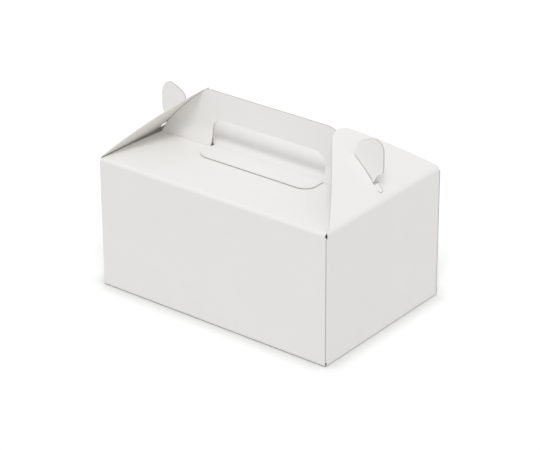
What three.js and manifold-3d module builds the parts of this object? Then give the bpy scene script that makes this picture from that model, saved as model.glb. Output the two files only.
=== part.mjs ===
// Handled cake box: one sheet of white coated carton board, cut, creased, folded and glued.
//
// Millimetres, +Z up. The origin is the middle of the underside, +X runs along the long side and
// the front wall faces -Y. The box stands closed with its handle up, as it is carried.
//
// The sheet is modelled as folded board. Each run of panels is one section, a centre line with
// rounded folds that is thickened to the board, and the section is drawn out along the folds and
// then trimmed to the cut outline of its panels. The two wings are the flaps that open first, so
// each is a mesh of its own that turns on the crease at the top of its end wall.

import * as THREE from 'three';
import { mergeVertices, toCreasedNormals } from 'three/addons/utils/BufferGeometryUtils.js';
import Module from 'manifold-3d';

const wasm = await Module();
wasm.setup();

// Body of the box
const LENGTH = 180;
const WIDTH = 120;
const HEIGHT = 90; // underside to the top of the lid
const BOARD = 0.5; // thickness of the board
const BASE_FOLD = 1.0; // outside radius of the folds round the bottom and at the corners
const LID_FOLD = 2.0; // outside radius of the softer folds between the long walls and the lid
const SEAM = 0.4; // how far the cut ends of the long walls stop short of the end faces
const TAB_WIDTH = 16; // glue tabs of the end walls, glued behind the long walls
const TAB_SLANT = 6; // how much each end of a tab is cut back over its width
const TAB_END_GAP = 1.6; // from the folds at the bottom and the top to a tab's root

// Lid: two halves that turn up into the two layers of the handle
const FRONT_FOOT = 3.6; // the front half turns up this far before the middle
const LID_SIDE_GAP = 1.1; // from an end face to the straight part of a lid half's side
const LID_TAPER_FROM = 42; // distance from the middle at which the sides start to narrow
const HANDLE_FOOT = 4; // from an end face to the foot of the handle
const HANDLE_FOLD = 0.5; // inside radius of the fold from the lid up into the handle

// Handle and its hand hole
const HANDLE_HEIGHT = 38; // above the lid
const KNEE_HEIGHT = 10; // the front layer leans back up to here and stands upright above
const KNEE_RADIUS = 20;
const LAYER_GAP = 0.3; // between the two layers of the handle
const SHOULDER_RADIUS = 5;
const HOLE_WIDTH = 90;
const HOLE_HEIGHT = 19.4;
const HOLE_RADIUS = 8.5;
const FLAP_SIDE_GAP = 0.15; // between a hole flap and the legs of the handle beside it
const FLAP_CLEAR = 0.15; // between a hole flap and the lid half that it lies over or under
const FLAP_DRIFT = 0.1; // how much further the flap's free edge stands off
const FLAP_BEND = 1.5; // from the fold of its own lid half to where a hole flap starts to bend
const LAP = 3; // length over which two runs of panels share the same stretch of board

// Wings: the flaps of the end walls, which lean in over the lid
const WING_FOOT_ANGLE = THREE.MathUtils.degToRad(51); // above level, at the crease
const WING_TIP_ANGLE = THREE.MathUtils.degToRad(37.5); // above level, at the tip
const WING_LENGTH = 51.2; // along the board, from crease to tip
const WING_SIDE_GAP = 2.5; // from a corner of the box to where the wing's side starts, on average
const WING_SHIFT = 1.5; // how far the wing's outline sits to one side of the middle
const WING_TIP_RADIUS = 14.5;
const CREASE_RADIUS = 4; // outside radius of the soft crease between end wall and wing
const WING_GAP = 0.3; // between the end wall's top edge and the wing's foot
const HINGE_PROUD = 0.15; // the line the wing turns on, outside the face of the board

// Ears: the ends of the handle, which hook out through the wings. A reach is measured from the line
// that the wing turns on, an inset from the end face, a height from the lid, and a root from the
// wing's crease. The left ear is the smaller of the two.
const RIGHT_EAR = {
  reach: 38.2,
  sideInset: 1.6,
  sideLow: 21,
  sideHigh: 31.5,
  heel: { inset: 3.3, height: 16.6 },
  notch: { inset: 6.6, height: 13.8 },
  rootLow: 11.6,
};
const LEFT_EAR = {
  reach: 34.8,
  sideInset: 2.7,
  sideLow: 17,
  sideHigh: 28,
  heel: { inset: 4.8, height: 12.4 },
  notch: { inset: 7.2, height: 10 },
  rootLow: 8.6,
};
const EAR_ROOT_HIGH = 31.0;
const EAR_NECK = 3; // height of the ear's straight inner side above its upper root
const EAR_ARC_FROM = THREE.MathUtils.degToRad(100); // the round top, as seen from the crease
const EAR_ARC_TO = THREE.MathUtils.degToRad(115);
const SLOT_CLEAR = 0.4; // round the ear in the wing's slot
const SLOT_START = 3.6; // along the wing from its crease
const SLOT_EYE = 2.4; // half the width of the slot's wide lower end
const SLOT_EYE_SHIFT = 0.9; // how far the wide end sits to the same side as the wing's outline
const SLOT_EYE_TO = 12.5; // along the wing, where the slot starts to narrow
const SLOT_NARROW_FROM = 19; // and where it has narrowed

const CURVE_TOLERANCE = 0.02; // furthest that a facet may lie from its true curve
const PAPER_WHITE = 0xf1f0ed;

const X = new THREE.Vector3(1, 0, 0);
const Y = new THREE.Vector3(0, 1, 0);
const Z = new THREE.Vector3(0, 0, 1);
const HALF_LENGTH = LENGTH / 2;
const HALF_WIDTH = WIDTH / 2;
const HALF_BOARD = BOARD / 2;
const REAR_FOOT = LAYER_GAP / 2 + BOARD; // the rear layer stands upright from its fold
const HANDLE_TOP = HANDLE_HEIGHT + 5; // height of a layer before it is cut to its outline
const FAR = 10; // how far a trimming solid runs past what it trims

// The wing in section. Distances along it start at its crease, and a depth is measured into the
// board from its outer face. The place of the crease is a point of the box's right end.

const creaseReach = CREASE_RADIUS * Math.tan((Math.PI / 2 - WING_FOOT_ANGLE) / 2);
const crease = new THREE.Vector2(
  HALF_LENGTH - creaseReach * Math.cos(WING_FOOT_ANGLE),
  HEIGHT + creaseReach * Math.sin(WING_FOOT_ANGLE),
);
const hinge = new THREE.Vector2(
  crease.x - (WING_GAP / 2) * Math.cos(WING_FOOT_ANGLE) + HINGE_PROUD * Math.sin(WING_FOOT_ANGLE),
  crease.y + (WING_GAP / 2) * Math.sin(WING_FOOT_ANGLE) + HINGE_PROUD * Math.cos(WING_FOOT_ANGLE),
);
const wingBend = (WING_TIP_ANGLE - WING_FOOT_ANGLE) / WING_LENGTH;

function wingPoint(along, depth = 0) {
  const angle = WING_FOOT_ANGLE + wingBend * along;
  const across = (Math.sin(angle) - Math.sin(WING_FOOT_ANGLE)) / wingBend;
  const up = (Math.cos(WING_FOOT_ANGLE) - Math.cos(angle)) / wingBend;
  return new THREE.Vector2(
    crease.x - across - depth * Math.sin(angle),
    crease.y + up - depth * Math.cos(angle),
  );
}

// Solids

function solidOf(geometry) {
  geometry.deleteAttribute('normal');
  geometry.deleteAttribute('uv');
  const merged = mergeVertices(geometry, 1e-5);
  return new wasm.Manifold(new wasm.Mesh({
    numProp: 3,
    vertProperties: new Float32Array(merged.attributes.position.array),
    triVerts: new Uint32Array(merged.index.array),
  }));
}

// A shape drawn out by depth, half to each side of its own plane. The plane lies at middle, with
// the shape's x along across and its y along up.
function drawnOut(shape, depth, across, up, middle = new THREE.Vector3()) {
  const geometry = new THREE.ExtrudeGeometry(shape, {
    depth,
    bevelEnabled: false,
    curveSegments: 10,
  });
  geometry.translate(0, 0, -depth / 2);
  const out = new THREE.Vector3().crossVectors(across, up);
  geometry.applyMatrix4(new THREE.Matrix4().makeBasis(across, up, out).setPosition(middle));
  return solidOf(geometry);
}

function arcSteps(radius, turn) {
  const step = 2 * Math.acos(1 - CURVE_TOLERANCE / Math.max(radius, 4 * CURVE_TOLERANCE));
  return Math.max(2, Math.ceil(Math.abs(turn) / step));
}

// The centre line through corners [x, y, radius], rounded at each, as points with directions.
function roundedLine(corners) {
  const places = corners.map(([x, y]) => new THREE.Vector2(x, y));
  const headings = places.slice(1).map((place, i) => place.clone().sub(places[i]).normalize());
  const line = [{ at: places[0], heading: headings[0].angle() }];
  for (let i = 1; i < corners.length - 1; i += 1) {
    const radius = corners[i][2];
    const start = headings[i - 1].angle();
    const turn = Math.atan2(headings[i - 1].cross(headings[i]), headings[i - 1].dot(headings[i]));
    if (Math.abs(turn) < 1e-6) continue;
    const reach = radius * Math.tan(Math.abs(turn) / 2);
    const side = Math.sign(turn) * radius;
    const from = places[i].clone().addScaledVector(headings[i - 1], -reach);
    const steps = arcSteps(radius, turn);
    for (let k = 0; k <= steps; k += 1) {
      const heading = start + (turn * k) / steps;
      const at = new THREE.Vector2(
        from.x + side * (Math.sin(heading) - Math.sin(start)),
        from.y + side * (Math.cos(start) - Math.cos(heading)),
      );
      line.push({ at, heading });
    }
  }
  line.push({ at: places.at(-1), heading: headings.at(-1).angle() });
  return line;
}

// The board seen edge-on along such a line.
function boardSection(corners) {
  const line = roundedLine(corners);
  const edge = (side) => line.map(({ at, heading }) => new THREE.Vector2(
    at.x - side * HALF_BOARD * Math.sin(heading),
    at.y + side * HALF_BOARD * Math.cos(heading),
  ));
  return new THREE.Shape([...edge(1), ...edge(-1).reverse()]);
}

// Bottom, long walls and lid halves: one run of panels round the box, then cut to the lid's sides.

function wrapPanels() {
  const wallY = HALF_WIDTH - HALF_BOARD;
  const lidZ = HEIGHT - HALF_BOARD;
  const section = boardSection([
    [-FRONT_FOOT - LAP, lidZ],
    [-wallY, lidZ, LID_FOLD - HALF_BOARD],
    [-wallY, HALF_BOARD, BASE_FOLD - HALF_BOARD],
    [wallY, HALF_BOARD, BASE_FOLD - HALF_BOARD],
    [wallY, lidZ, LID_FOLD - HALF_BOARD],
    [REAR_FOOT + LAP, lidZ],
  ]);
  const run = drawnOut(section, LENGTH - 2 * SEAM, Y, Z);
  return run.subtract(lidSideCut(1)).subtract(lidSideCut(-1));
}

function lidSideCut(side) {
  const straight = HALF_LENGTH - LID_SIDE_GAP;
  const foot = HALF_LENGTH - HANDLE_FOOT;
  const shape = new THREE.Shape();
  shape.moveTo(side * (HALF_LENGTH + FAR), -HALF_WIDTH - FAR);
  shape.lineTo(side * (HALF_LENGTH + FAR), HALF_WIDTH + FAR);
  shape.lineTo(side * straight, HALF_WIDTH + FAR);
  shape.lineTo(side * straight, LID_TAPER_FROM);
  shape.lineTo(side * foot, REAR_FOOT);
  shape.lineTo(side * foot, -FRONT_FOOT);
  shape.lineTo(side * straight, -LID_TAPER_FROM);
  shape.lineTo(side * straight, -HALF_WIDTH - FAR);
  const depth = LID_FOLD + FAR;
  return drawnOut(shape, depth, X, Y, new THREE.Vector3(0, 0, HEIGHT - LID_FOLD + depth / 2));
}

// End walls: each rises from the bottom and ends in half of the soft crease that carries its wing.

function endWall(side) {
  const wallX = HALF_LENGTH - HALF_BOARD;
  const lean = Math.PI / 2 - WING_FOOT_ANGLE;
  const bendZ = HEIGHT - HALF_BOARD * Math.tan(lean / 2);
  const reach = (CREASE_RADIUS - HALF_BOARD) * Math.tan(lean / 2);
  const section = boardSection([
    [side * (HALF_LENGTH - TAB_WIDTH), HALF_BOARD],
    [side * wallX, HALF_BOARD, BASE_FOLD - HALF_BOARD],
    [side * wallX, bendZ, CREASE_RADIUS - HALF_BOARD],
    [
      side * (wallX - (reach + 1e-3) * Math.cos(WING_FOOT_ANGLE)),
      bendZ + (reach + 1e-3) * Math.sin(WING_FOOT_ANGLE),
    ],
  ]);
  const width = 2 * (HALF_WIDTH - BOARD - BASE_FOLD);
  return drawnOut(section, width, X, Z).add(glueTab(side, 1)).add(glueTab(side, -1));
}

function glueTab(side, back) {
  const wallX = HALF_LENGTH - HALF_BOARD;
  const tabY = HALF_WIDTH - BOARD - HALF_BOARD;
  const low = BASE_FOLD + TAB_END_GAP;
  const high = HEIGHT - creaseReach - TAB_END_GAP;
  const section = boardSection([
    [side * wallX, back * (tabY - BASE_FOLD - LAP)],
    [side * wallX, back * tabY, BASE_FOLD - HALF_BOARD],
    [side * (HALF_LENGTH - TAB_WIDTH), back * tabY],
  ]);
  const tab = drawnOut(section, high - low, X, Y, new THREE.Vector3(0, 0, (low + high) / 2));
  const outline = new THREE.Shape([
    new THREE.Vector2(side * HALF_LENGTH, low),
    new THREE.Vector2(side * HALF_LENGTH, high),
    new THREE.Vector2(side * (HALF_LENGTH - BASE_FOLD), high),
    new THREE.Vector2(side * (HALF_LENGTH - TAB_WIDTH), high - TAB_SLANT),
    new THREE.Vector2(side * (HALF_LENGTH - TAB_WIDTH), low + TAB_SLANT),
    new THREE.Vector2(side * (HALF_LENGTH - BASE_FOLD), low),
  ]);
  return tab.intersect(drawnOut(outline, WIDTH + FAR, X, Z));
}

// Handle: a layer from each lid half, cut to the outline with the hand hole, shoulders and ears.

function footOf(back) {
  return back > 0 ? REAR_FOOT : FRONT_FOOT;
}

function handleLayer(back) {
  const layerY = LAYER_GAP / 2 + HALF_BOARD;
  const foot = footOf(back);
  const section = boardSection([
    [back * (foot + 2 * LAP), HEIGHT - HALF_BOARD],
    [back * (foot - HALF_BOARD), HEIGHT - HALF_BOARD, HANDLE_FOLD + HALF_BOARD],
    [back * layerY, HEIGHT + KNEE_HEIGHT, KNEE_RADIUS],
    [back * layerY, HEIGHT + HANDLE_TOP],
  ]);
  return drawnOut(section, LENGTH + FAR, Y, Z);
}

function handleHalfOutline(side) {
  const shape = new THREE.Shape();
  const at = (inset, height) => [side * (HALF_LENGTH - inset), HEIGHT + height];
  const hole = HOLE_WIDTH / 2;
  const legFoot = -2 * BOARD;
  shape.moveTo(-side, HEIGHT + HANDLE_HEIGHT);
  shape.lineTo(-side, HEIGHT + HOLE_HEIGHT);
  shape.lineTo(side * (hole - HOLE_RADIUS), HEIGHT + HOLE_HEIGHT);
  const centreAngles = side > 0 ? [Math.PI / 2, 0, true] : [Math.PI / 2, Math.PI, false];
  shape.absarc(
    side * (hole - HOLE_RADIUS),
    HEIGHT + HOLE_HEIGHT - HOLE_RADIUS,
    HOLE_RADIUS,
    ...centreAngles,
  );
  shape.lineTo(side * hole, HEIGHT + legFoot);
  shape.lineTo(...at(HANDLE_FOOT, legFoot));
  shape.lineTo(...at(HANDLE_FOOT, 0));
  addEar(shape, side, at, side > 0 ? RIGHT_EAR : LEFT_EAR);
  addShoulder(shape, side);
  return shape;
}

// The ear, from its lower root inside the wing, out through the slot and back to its upper root.
function addEar(shape, side, at, ear) {
  const rootLow = wingPoint(ear.rootLow, BOARD + SLOT_CLEAR);
  const rootHigh = wingPoint(EAR_ROOT_HIGH);
  const neckTop = rootHigh.y + EAR_NECK;
  const { heel, notch } = ear;
  const hingeX = side * hinge.x;
  const from = side > 0 ? EAR_ARC_FROM : Math.PI - EAR_ARC_FROM;
  const to = side > 0 ? EAR_ARC_TO : Math.PI - EAR_ARC_TO;
  const start = [hingeX + ear.reach * Math.cos(from), hinge.y + ear.reach * Math.sin(from)];
  const endX = hinge.x + ear.reach * Math.cos(EAR_ARC_TO);
  const endZ = hinge.y + ear.reach * Math.sin(EAR_ARC_TO);
  const neckZ = endZ + (endX - rootHigh.x) / Math.tan(EAR_ARC_TO);
  shape.lineTo(side * rootLow.x, rootLow.y);
  shape.quadraticCurveTo(...at(notch.inset + 1.2, notch.height - 3), ...at(notch.inset, notch.height));
  shape.quadraticCurveTo(...at(notch.inset - 0.8, notch.height + 2), ...at(heel.inset, heel.height));
  shape.quadraticCurveTo(...at(ear.sideInset, heel.height + 1), ...at(ear.sideInset, ear.sideLow));
  shape.lineTo(...at(ear.sideInset, ear.sideHigh));
  shape.quadraticCurveTo(...at(ear.sideInset + 0.2, ear.sideHigh + 5.5), ...start);
  shape.absarc(hingeX, hinge.y, ear.reach, from, to, side < 0);
  shape.quadraticCurveTo(side * rootHigh.x, neckZ, side * rootHigh.x, neckTop);
  shape.lineTo(side * rootHigh.x, rootHigh.y);
}

// The shoulder follows the inner face of the wing up to the rounded corner of the handle.
function addShoulder(shape, side) {
  const inside = BOARD + SLOT_CLEAR;
  const top = HEIGHT + HANDLE_HEIGHT;
  const low = wingPoint(EAR_ROOT_HIGH, inside);
  const high = wingPoint(WING_LENGTH, inside);
  const along = new THREE.Vector2().subVectors(high, low).normalize();
  const corner = low.clone().addScaledVector(along, (top - low.y) / along.y);
  const turnIn = corner.clone().addScaledVector(along, -SHOULDER_RADIUS / 2);
  shape.lineTo(side * low.x, low.y);
  shape.lineTo(side * turnIn.x, turnIn.y);
  shape.quadraticCurveTo(side * corner.x, top, side * (corner.x - SHOULDER_RADIUS), top);
}

function handle() {
  const layers = handleLayer(-1).add(handleLayer(1));
  const depth = 2 * (FRONT_FOOT + LAP) + FAR;
  const rightHalf = drawnOut(handleHalfOutline(1), depth, X, Z);
  const leftHalf = drawnOut(handleHalfOutline(-1), depth, X, Z);
  return layers.intersect(rightHalf.add(leftHalf));
}

// Hole flap: the board of a layer's hand hole, which stays level with its own lid half when the
// handle is folded up. The rear one lies over the front lid half and the front one under the rear.

function holeFlap(back) {
  const level = HEIGHT - HALF_BOARD;
  const step = back * (BOARD + FLAP_CLEAR);
  const free = footOf(back) - HOLE_HEIGHT;
  const section = boardSection([
    [back * (footOf(back) + 2 * LAP), level],
    [back * (footOf(back) + FLAP_BEND), level, 2],
    [-back * (footOf(-back) + BOARD), level + step, 4],
    [back * free, level + step + back * FLAP_DRIFT],
  ]);
  const cut = drawnOut(flapOutline(back, free), FAR, X, Y, new THREE.Vector3(0, 0, HEIGHT));
  return drawnOut(section, HOLE_WIDTH, Y, Z).intersect(cut);
}

function flapOutline(back, free) {
  const half = HOLE_WIDTH / 2 - FLAP_SIDE_GAP;
  const centreX = half - HOLE_RADIUS;
  const centreY = back * (free + HOLE_RADIUS);
  const down = (-back * Math.PI) / 2;
  const outline = new THREE.Shape();
  outline.moveTo(-half, back * (footOf(back) + FAR));
  outline.lineTo(half, back * (footOf(back) + FAR));
  outline.lineTo(half, centreY);
  outline.absarc(centreX, centreY, HOLE_RADIUS, 0, down, back > 0);
  outline.lineTo(-centreX, back * free);
  outline.absarc(-centreX, centreY, HOLE_RADIUS, down, -back * Math.PI, back > 0);
  return outline;
}

function carton() {
  return wrapPanels()
    .add(endWall(1))
    .add(endWall(-1))
    .add(handle())
    .add(holeFlap(1))
    .add(holeFlap(-1));
}

// Wing: a bowed sheet cut to a point with a round tip, with the slot for the ear. It is made about
// the line it turns on, for the box's right end.

function wingOutline(reach) {
  const side = HALF_WIDTH - WING_SIDE_GAP;
  const tipCentre = WING_LENGTH - WING_TIP_RADIUS;
  const toTip = Math.hypot(side, tipCentre);
  const slope = Math.atan2(side, tipCentre) - Math.asin(WING_TIP_RADIUS / toTip);
  const touch = Math.PI / 2 - slope;
  const outline = new THREE.Shape();
  outline.moveTo(-FAR, WING_SHIFT - side);
  outline.lineTo(0, WING_SHIFT - side);
  outline.absarc(tipCentre, WING_SHIFT, WING_TIP_RADIUS, -touch, touch, false);
  outline.lineTo(0, WING_SHIFT + side);
  outline.lineTo(-FAR, WING_SHIFT + side);
  outline.holes.push(slotOutline(reach + SLOT_CLEAR));
  return outline;
}

function slotOutline(end) {
  const narrow = LAYER_GAP / 2 + BOARD + SLOT_CLEAR;
  const slot = new THREE.Path();
  slot.absarc(SLOT_START + SLOT_EYE, SLOT_EYE_SHIFT, SLOT_EYE, Math.PI / 2, (3 * Math.PI) / 2, false);
  slot.lineTo(SLOT_EYE_TO, SLOT_EYE_SHIFT - SLOT_EYE);
  slot.lineTo(SLOT_NARROW_FROM, -narrow);
  slot.lineTo(end, -narrow);
  slot.lineTo(end, narrow);
  slot.lineTo(SLOT_NARROW_FROM, narrow);
  slot.lineTo(SLOT_EYE_TO, SLOT_EYE_SHIFT + SLOT_EYE);
  return slot;
}

function wing(reach) {
  const steps = arcSteps(1 / Math.abs(wingBend), wingBend * WING_LENGTH);
  const places = Array.from({ length: steps + 1 }, (_, k) => (
    WING_GAP + ((WING_LENGTH - WING_GAP) * k) / steps
  ));
  const outer = places.map((along) => wingPoint(along).sub(hinge));
  const inner = places.map((along) => wingPoint(along, BOARD).sub(hinge));
  const sheet = drawnOut(new THREE.Shape([...outer, ...inner.reverse()]), WIDTH, X, Z);
  const foot = wingPoint(0).sub(hinge);
  const tip = wingPoint(WING_LENGTH).sub(hinge);
  const along = new THREE.Vector3(tip.x - foot.x, 0, tip.y - foot.y).normalize();
  const cut = drawnOut(wingOutline(reach), 2 * FAR, along, Y, new THREE.Vector3(foot.x, 0, foot.y));
  return sheet.intersect(cut);
}

// Scene

function meshOf(name, solid, colour = PAPER_WHITE) {
  const { vertProperties, triVerts } = solid.getMesh();
  const geometry = new THREE.BufferGeometry();
  geometry.setAttribute('position', new THREE.BufferAttribute(vertProperties, 3));
  geometry.setIndex(new THREE.BufferAttribute(triVerts, 1));
  const board = new THREE.MeshStandardMaterial({ color: colour, roughness: 0.55, metalness: 0 });
  const mesh = new THREE.Mesh(toCreasedNormals(geometry, Math.PI / 6), board);
  mesh.name = name;
  return mesh;
}

const box = new THREE.Group();
box.add(meshOf('carton', carton()));

const rightWing = meshOf('right_wing', wing(RIGHT_EAR.reach));
rightWing.position.set(hinge.x, 0, hinge.y);
box.add(rightWing);

const leftWing = meshOf('left_wing', wing(LEFT_EAR.reach));
leftWing.position.set(-hinge.x, 0, hinge.y);
leftWing.rotation.z = Math.PI;
box.add(leftWing);

export default box;
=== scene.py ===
import math

import bmesh
import bpy
from mathutils import Matrix, Vector
from mathutils.bvhtree import BVHTree


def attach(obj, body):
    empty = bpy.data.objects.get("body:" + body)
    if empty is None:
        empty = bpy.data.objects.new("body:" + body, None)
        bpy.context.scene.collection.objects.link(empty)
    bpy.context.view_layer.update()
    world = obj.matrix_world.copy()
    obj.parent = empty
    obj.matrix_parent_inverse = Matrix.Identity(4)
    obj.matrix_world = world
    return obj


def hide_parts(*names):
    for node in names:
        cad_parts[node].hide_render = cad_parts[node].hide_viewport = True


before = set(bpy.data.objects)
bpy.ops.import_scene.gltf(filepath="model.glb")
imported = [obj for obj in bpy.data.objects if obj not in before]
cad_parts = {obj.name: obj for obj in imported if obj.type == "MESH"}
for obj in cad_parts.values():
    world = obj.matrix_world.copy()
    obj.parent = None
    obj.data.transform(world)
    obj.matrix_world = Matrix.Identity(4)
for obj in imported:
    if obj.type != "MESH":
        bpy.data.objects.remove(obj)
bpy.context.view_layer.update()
MM = 0.001


# Carton: one sheet of carton board, die-cut, creased, folded up and glued at four tabs behind the
# long walls. It is bleached board, coated white on its outside and left plain on its inside, so
# the cut edges show the plain fibre between the two.

BOX_LENGTH = 180 * MM
BOX_WIDTH = 120 * MM
BOX_HEIGHT = 90 * MM
BOARD = 0.5 * MM
FIBRE_CLUMP = 0.7 * MM
SEAM_REACH = 0.8 * MM  # how far from a seam its darker line fades out
LEFT_EAR_CENTRE = Vector((-79.7, 0, 118.5)) * MM
LEFT_EAR_RADIUS = 6.6 * MM
LEFT_EAR_TANGENTS = range(100, 161, 15)  # degrees, from the right over the top
SAME_POINT = BOARD / 500
FLAT_ANGLE = math.radians(0.2)
CRISP_ANGLE = math.radians(30)
FACE, REVERSE, CUT_EDGE, CORNER_EDGE = range(4)


def linear(hex_value):
    """The linear colour of an sRGB hex value, with alpha 1."""
    parts = [(hex_value >> shift & 255) / 255 for shift in (16, 8, 0)]
    return [c / 12.92 if c <= 0.04045 else ((c + 0.055) / 1.055) ** 2.4 for c in parts] + [1]


def add_node(tree, kind, settings=(), links=()):
    """Adds a node. A setting is a socket's name or number, or a property of the node itself."""
    node = tree.nodes.new("ShaderNode" + kind)
    for key, value in dict(settings).items():
        if isinstance(key, int) or key in node.inputs:
            node.inputs[key].default_value = value
        else:
            setattr(node, key, value)
    for key, source in dict(links).items():
        tree.links.new(source, node.inputs[key])
    return node


def new_tree(owner):
    """The empty node tree of a material or a world."""
    owner.use_nodes = True
    owner.node_tree.nodes.clear()
    return owner.node_tree


def board_material(name, light, dark, seam_shade, roughness, tooth, cloud):
    """Carton board: a cloudy tint between two whites, and a fine tooth left by the fibres.

    Seam shade is the colour of the painted shade deep in a seam. Tooth is the height of the fibre
    relief and cloud the width of a lighter patch, in metres.
    """
    material = bpy.data.materials.new(name)
    tree = new_tree(material)
    place = add_node(tree, "TexCoord").outputs["Object"]
    clouds = add_node(tree, "TexNoise", {"Scale": 1 / cloud, "Detail": 3}, {"Vector": place})
    tint = add_node(tree, "Mix", {"data_type": "RGBA", 6: linear(dark), 7: linear(light)},
                    {"Factor": clouds.outputs["Fac"]})
    # Fibres are 0.03 mm thick. They are drawn as clumps, or they wouldn't show.
    fibres = add_node(tree, "TexNoise", {"Scale": 1 / FIBRE_CLUMP, "Detail": 4, "Roughness": 0.65},
                      {"Vector": place})
    relief = add_node(tree, "Bump", {"Strength": 1, "Distance": tooth},
                      {"Height": fibres.outputs["Fac"]})
    # The surface shines a little less where fibres stand up.
    shine = add_node(tree, "MapRange", {"To Min": roughness - 0.05, "To Max": roughness + 0.05},
                     {"Value": fibres.outputs["Fac"]})
    # Painted shade: a seam or the hollow of a fold is drawn darker, where it is too fine to render.
    near = add_node(tree, "AmbientOcclusion", {"samples": 16, "Distance": SEAM_REACH})
    seam = add_node(tree, "Mix", {"data_type": "RGBA", 6: linear(seam_shade)},
                    {"Factor": near.outputs["AO"], 7: tint.outputs[2]})
    board = add_node(tree, "BsdfPrincipled", {"IOR": 1.5, "Metallic": 0},
                     {"Base Color": seam.outputs[2], "Roughness": shine.outputs["Result"],
                      "Normal": relief.outputs["Normal"]})
    add_node(tree, "OutputMaterial", links={"Surface": board.outputs["BSDF"]})
    return material


# Clay-coated face: smooth and half matte, so it gives a broad soft sheen and an even white.
coated_face = board_material("clay_coated_board_face", 0xf2f1ef, 0xefeeec, 0x7d7974,
                             0.5, 0.004 * MM, 25 * MM)
# Plain reverse: uncoated fibre, a little creamier and quite matte.
plain_reverse = board_material("uncoated_board_reverse", 0xf0eeea, 0xebe9e4, 0xa29d96,
                               0.8, 0.012 * MM, 8 * MM)
# Cut edge: fibre sheared by the die, duller and creamier than both sides of the board.
cut_edge = board_material("die_cut_board_edge", 0xe8e5e0, 0xdedad4, 0xc8c4be,
                          0.9, 0.02 * MM, 1 * MM)
# Cut edge at a glued corner: painted shade, a darker grey that draws the narrow seam's shadow as a
# line.
shaded_corner_edge = board_material("board_edge_with_painted_seam_shade", 0xa9a59f, 0x9f9b94, 0x77736d,
                             0.7, 0.02 * MM, 1 * MM)
BOARD_MATERIALS = (coated_face, plain_reverse, cut_edge, shaded_corner_edge)


def finish_board(piece, body, node):
    """Gives a piece of board its materials, smooth folds and crisp edges, and its place."""
    for material in BOARD_MATERIALS:
        piece.data.materials.append(material)
    mesh = bmesh.new()
    mesh.from_mesh(piece.data)
    for edge in mesh.edges:
        edge.smooth = edge.is_manifold and edge.calc_face_angle() < CRISP_ANGLE
    for face in mesh.faces:
        face.smooth = True
    mesh.to_mesh(piece.data)
    mesh.free()
    even = piece.modifiers.new("even_light_on_panels", "WEIGHTED_NORMAL")
    even.keep_sharp = True
    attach(piece, body)
    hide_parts(node)


def round_left_ears(mesh):
    """Rounds the upper corner of the left ears, by cuts along the tangents of a circle."""
    for degrees in LEFT_EAR_TANGENTS:
        angle = math.radians(degrees)
        outward = Vector((math.cos(angle), 0, math.sin(angle)))
        parts = mesh.verts[:] + mesh.edges[:] + mesh.faces[:]
        touch = LEFT_EAR_CENTRE + outward * LEFT_EAR_RADIUS
        cut = bmesh.ops.bisect_plane(mesh, geom=parts, plane_co=touch, plane_no=outward,
                                     dist=SAME_POINT, clear_outer=True)["geom_cut"]
        rim = [part for part in cut if isinstance(part, bmesh.types.BMEdge)]
        bmesh.ops.holes_fill(mesh, edges=rim)


def is_reverse(place, normal):
    """Whether a face of the carton looks into the box or between the handle's layers."""
    if place.z > BOX_HEIGHT + 3 * BOARD:
        return place.y * normal.y < 0
    skin = 0.6 * BOARD
    within = abs(place.x) < BOX_LENGTH / 2 - skin and abs(place.y) < BOX_WIDTH / 2 - skin
    return within and skin < place.z < BOX_HEIGHT - skin


def is_glued_corner(place, normal):
    """Whether a cut edge is the upright end of a long wall, beside the fold of an end wall."""
    outside = abs(place.y) > BOX_WIDTH / 2 - 2 * BOARD and place.z < BOX_HEIGHT
    return outside and abs(normal.x) > 0.9


def carton_sides(mesh):
    """Sorts the carton's faces: a face with much board behind it is where the die cut."""
    mesh.normal_update()
    depth_of = BVHTree.FromBMesh(mesh)
    for face in mesh.faces:
        place = face.calc_center_median()
        start = place - face.normal * BOARD / 50
        behind = depth_of.ray_cast(start, -face.normal)[3]
        if behind is None or behind > 3 * BOARD:
            # An upright cut edge at a glued corner gets the darker grey of painted seam shade.
            corner = is_glued_corner(place, face.normal)
            face.material_index = CORNER_EDGE if corner else CUT_EDGE
        else:
            face.material_index = REVERSE if is_reverse(place, face.normal) else FACE


carton = bpy.data.objects.new("folded_carton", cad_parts["carton"].data.copy())
bpy.context.collection.objects.link(carton)
carton.data.materials.clear()
folded = bmesh.new()
folded.from_mesh(carton.data)
bmesh.ops.remove_doubles(folded, verts=folded.verts, dist=SAME_POINT)
round_left_ears(folded)
carton_sides(folded)
bmesh.ops.dissolve_limit(folded, angle_limit=FLAT_ANGLE, verts=folded.verts, edges=folded.edges,
                         delimit={"MATERIAL"})
folded.to_mesh(carton.data)
folded.free()
finish_board(carton, "carton", "carton")


# Wings: the pointed flaps of the end walls, die-cut in the same sheet of board. Each leans in from
# its crease in a slight bow, and is hooked over the ears, which stand out through its slit. The
# foot of the slit is a keyhole with a tongue in the right wing, and a round hole in the left one.

WING_LENGTH = 51.2 * MM
WING_SIDE = 57.5 * MM
WING_SHIFT = 1.5 * MM
WING_TIP_RADIUS = 14.5 * MM
WING_START = 0.02 * MM  # a hair off the crease, where the real board runs on unbroken
WING_TIP_STEPS = 16
WING_FOOT_ANGLE = math.radians(51)
WING_TIP_ANGLE = math.radians(37.5)
CREASE_RADIUS = 4 * MM
SLIT_HALF = 0.7 * MM
SLIT_END = 31.7 * MM
KEYHOLE_CENTRE = Vector((6, 0.9)) * MM
KEYHOLE_HALF = 2.4 * MM
KEYHOLE_STEPS = 12
KEYHOLE_TO = 12.5 * MM
SLIT_FROM = 19 * MM
TONGUE_END = 10 * MM
TONGUE_GAP = 0.35 * MM
ROUND_CENTRE = Vector((3.4, 0.4)) * MM
ROUND_RADIUS = 2.7 * MM
ROUND_STEPS = 20
NECK_HALF = 0.2 * MM
NECK_END = 12 * MM
WING_STEP = 1.5 * MM


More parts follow.
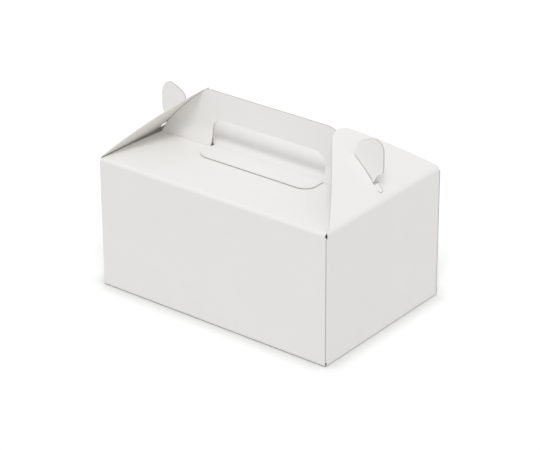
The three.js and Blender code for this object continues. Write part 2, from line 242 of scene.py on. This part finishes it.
def arc(centre, radius, start, end, steps):
    """Points on an arc, with angles in radians, from start to end."""
    angles = [start + (end - start) * i / steps for i in range(steps + 1)]
    return [centre + radius * Vector((math.cos(a), math.sin(a))) for a in angles]


def wing_outline():
    """The wing's cut edge as (distance from the crease, distance along it)."""
    centre = Vector((WING_LENGTH - WING_TIP_RADIUS, WING_SHIFT))
    to_tip = math.hypot(WING_SIDE, centre.x)
    touch = math.pi / 2 - math.atan2(WING_SIDE, centre.x) + math.asin(WING_TIP_RADIUS / to_tip)
    tip = arc(centre, WING_TIP_RADIUS, -touch, touch, WING_TIP_STEPS)
    return [
        Vector((WING_START, WING_SHIFT - WING_SIDE)),
        *tip,
        Vector((WING_START, WING_SHIFT + WING_SIDE)),
    ]


def tongued_slit():
    """The right wing's slit: a cut runs round the tongue that fills the foot of its keyhole."""
    rear, front = math.pi / 2, math.pi * 3 / 2
    shift = KEYHOLE_CENTRE.y
    return [
        *arc(KEYHOLE_CENTRE, KEYHOLE_HALF, rear, front, KEYHOLE_STEPS),
        *arc(KEYHOLE_CENTRE, KEYHOLE_HALF - TONGUE_GAP, front, rear, KEYHOLE_STEPS),
        Vector((TONGUE_END, shift + KEYHOLE_HALF - TONGUE_GAP)),
        Vector((TONGUE_END, shift - KEYHOLE_HALF)),
        Vector((KEYHOLE_TO, shift - KEYHOLE_HALF)),
        Vector((SLIT_FROM, -SLIT_HALF)),
        Vector((SLIT_END, -SLIT_HALF)),
        Vector((SLIT_END, SLIT_HALF)),
        Vector((SLIT_FROM, SLIT_HALF)),
        Vector((KEYHOLE_TO, shift + KEYHOLE_HALF)),
    ]


def round_slit():
    """The left wing's slit: a round hole, then a narrow neck, then room for the ears."""
    mouth = math.asin(NECK_HALF / ROUND_RADIUS)
    shift = ROUND_CENTRE.y
    return [
        *arc(ROUND_CENTRE, ROUND_RADIUS, mouth, 2 * math.pi - mouth, ROUND_STEPS),
        Vector((NECK_END, shift - NECK_HALF)),
        Vector((NECK_END, -SLIT_HALF)),
        Vector((SLIT_END, -SLIT_HALF)),
        Vector((SLIT_END, SLIT_HALF)),
        Vector((NECK_END, SLIT_HALF)),
        Vector((NECK_END, shift + NECK_HALF)),
    ]


def wing_place(along, across, depth):
    """Where a point of the flat right wing lies on the bowed one, depth below its face."""
    bend = (WING_TIP_ANGLE - WING_FOOT_ANGLE) / WING_LENGTH
    angle = WING_FOOT_ANGLE + bend * along
    reach = CREASE_RADIUS * math.tan((math.pi / 2 - WING_FOOT_ANGLE) / 2)
    crease_x = BOX_LENGTH / 2 - reach * math.cos(WING_FOOT_ANGLE)
    crease_z = BOX_HEIGHT + reach * math.sin(WING_FOOT_ANGLE)
    inward = (math.sin(angle) - math.sin(WING_FOOT_ANGLE)) / bend + depth * math.sin(angle)
    up = (math.cos(WING_FOOT_ANGLE) - math.cos(angle)) / bend - depth * math.cos(angle)
    return Vector((crease_x - inward, across, crease_z + up))


def flat_wing(slit):
    """The flat sheet of a wing, cut into narrow strips along the crease so that it can bow."""
    mesh = bmesh.new()
    for outline in (wing_outline(), slit):
        corners = [mesh.verts.new((p.x, p.y, 0)) for p in outline]
        for corner, following in zip(corners, corners[1:] + corners[:1]):
            mesh.edges.new((corner, following))
    bmesh.ops.triangle_fill(mesh, edges=mesh.edges[:], use_beauty=True, normal=(0, 0, 1))
    for i in range(1, int(WING_LENGTH / WING_STEP) + 1):
        parts = mesh.verts[:] + mesh.edges[:] + mesh.faces[:]
        bmesh.ops.bisect_plane(mesh, geom=parts, plane_co=(i * WING_STEP, 0, 0), plane_no=(1, 0, 0),
                               dist=SAME_POINT)
    return mesh


def flat_key(vert):
    """Where a point of the flat wing lies on the sheet, whichever side of the board it is on."""
    return round(vert.co.x / MM, 4), round(vert.co.y / MM, 4)


def thicken(mesh):
    """Gives the flat sheet its reverse side and the cut edges all round."""
    for face in mesh.faces:
        face.material_index = FACE
    rim = [edge for edge in mesh.edges if edge.is_boundary]
    copied = bmesh.ops.duplicate(mesh, geom=mesh.verts[:] + mesh.edges[:] + mesh.faces[:])["geom"]
    below = {}
    for part in copied:
        if isinstance(part, bmesh.types.BMVert):
            part.co.z = BOARD
            below[flat_key(part)] = part
        elif isinstance(part, bmesh.types.BMFace):
            part.material_index = REVERSE
    for edge in rim:
        first, second = edge.verts
        side = mesh.faces.new((first, second, below[flat_key(second)], below[flat_key(first)]))
        side.material_index = CUT_EDGE
    # Outward is told from the middle of the sheet, which only a flat sheet has inside its board.
    bmesh.ops.recalc_face_normals(mesh, faces=mesh.faces[:])


def add_wing(name, node, slit, turn):
    """A bowed wing at the box's right end, turned about the box's upright axis."""
    mesh = flat_wing(slit)
    thicken(mesh)
    for vert in mesh.verts:
        vert.co = Matrix.Rotation(turn, 3, "Z") @ wing_place(*vert.co)
    wing = bpy.data.objects.new(name, bpy.data.meshes.new(name))
    mesh.to_mesh(wing.data)
    mesh.free()
    bpy.context.collection.objects.link(wing)
    finish_board(wing, node, node)


add_wing("pointed_wing_right", "right_wing", tongued_slit(), 0)
add_wing("pointed_wing_left", "left_wing", round_slit(), math.pi)


# Floor: a pale sheet of studio paper. The eye sees it lit to white. It keeps the shadow the lamp
# casts, and a painted contact shade darkens it further close around the box.

FLOOR_SIZE = 12
FLOOR_GAP = 0.05 * MM
FLOOR_LIFT = 0.05  # added light that only the eye sees
SHADE_REACH = 14 * MM  # how far the painted contact shade spreads from the box
SHADE_DEPTH = 0.4  # what is left of the white right beside the box, under the painted shade


def eye_ray(tree):
    """1 where the camera looks, straight or by way of a reflection."""
    path = add_node(tree, "LightPath")
    return add_node(tree, "Math", {"operation": "MAXIMUM"},
                    {0: path.outputs["Is Camera Ray"], 1: path.outputs["Is Glossy Ray"]}).outputs[0]


def studio_paper():
    """Matte pale grey paper, lifted to white for the eye, and darkened by painted shade beside the
    box.
    """
    material = bpy.data.materials.new("matte_studio_paper")
    tree = new_tree(material)
    paper = add_node(tree, "BsdfDiffuse", {"Color": linear(0xdcdcdc)})
    near = add_node(tree, "AmbientOcclusion", {"samples": 16, "Distance": SHADE_REACH})
    shade = add_node(tree, "MapRange", {"To Min": SHADE_DEPTH, "To Max": 1},
                     {"Value": near.outputs["AO"]})
    white = add_node(tree, "BsdfDiffuse", links={"Color": shade.outputs["Result"]})
    lift = add_node(tree, "Emission", {"Strength": FLOOR_LIFT})
    lifted = add_node(tree, "AddShader", links={0: white.outputs[0], 1: lift.outputs[0]})
    seen = add_node(tree, "MixShader",
                    links={0: eye_ray(tree), 1: paper.outputs[0], 2: lifted.outputs[0]})
    add_node(tree, "OutputMaterial", links={"Surface": seen.outputs[0]})
    return material


floor = bpy.data.objects.new("floor", bpy.data.meshes.new("floor"))
half = FLOOR_SIZE / 2
corners = [(-half, -half, 0), (half, -half, 0), (half, half, 0), (-half, half, 0)]
floor.data.from_pydata(corners, [], [(0, 1, 2, 3)])
floor.data.materials.append(studio_paper())
floor.location.z = -FLOOR_GAP
bpy.context.collection.objects.link(floor)


# Light: an even white studio all round, and one large soft lamp high up behind the camera. It
# draws the soft shadow of the handle's grip on the rear of the lid.

STUDIO_LEVEL = 0.7
LAMP_FROM = Vector((0.38, -0.52, 1))
LAMP_WIDTH = math.radians(19)
LAMP_STRENGTH = 1.06

studio = bpy.data.worlds.new("studio")
studio_tree = new_tree(studio)
level = add_node(studio_tree, "MapRange", {"To Min": STUDIO_LEVEL, "To Max": 1.0},
                 {"Value": eye_ray(studio_tree)})
sky = add_node(studio_tree, "Background", {"Color": linear(0xffffff)},
               {"Strength": level.outputs[0]})
add_node(studio_tree, "OutputWorld", links={"Surface": sky.outputs[0]})
bpy.context.scene.world = studio

lamp_light = bpy.data.lights.new("softbox", "SUN")
lamp_light.angle = LAMP_WIDTH
lamp_light.energy = LAMP_STRENGTH
lamp = bpy.data.objects.new("softbox", lamp_light)
lamp.rotation_euler = LAMP_FROM.to_track_quat("Z", "Y").to_euler()
bpy.context.collection.objects.link(lamp)


# Camera: it looks down on the box's front right corner from about 26 degrees up. Its lens is long,
# so the upright edges stay nearly parallel.

CAMERA_PLACE = Vector((828.3, -1053.5, 709.9)) * MM
AZIMUTH = math.radians(38.16)
ELEVATION = math.radians(26.35)
ROLL = math.radians(-0.29)
SENSOR = 36
FOCAL_PIXELS = 2338
IMAGE_WIDTH = 540

camera_data = bpy.data.cameras.new("camera")
camera_data.sensor_width = SENSOR
camera_data.lens = FOCAL_PIXELS * SENSOR / IMAGE_WIDTH
camera = bpy.data.objects.new("camera", camera_data)
looking = (
    Matrix.Rotation(AZIMUTH, 4, "Z")
    @ Matrix.Rotation(math.pi / 2 - ELEVATION, 4, "X")
    @ Matrix.Rotation(ROLL, 4, "Z")
)
camera.matrix_world = Matrix.Translation(CAMERA_PLACE) @ looking
bpy.context.collection.objects.link(camera)
bpy.context.scene.camera = camera
bpy.context.scene.view_settings.view_transform = "Standard"
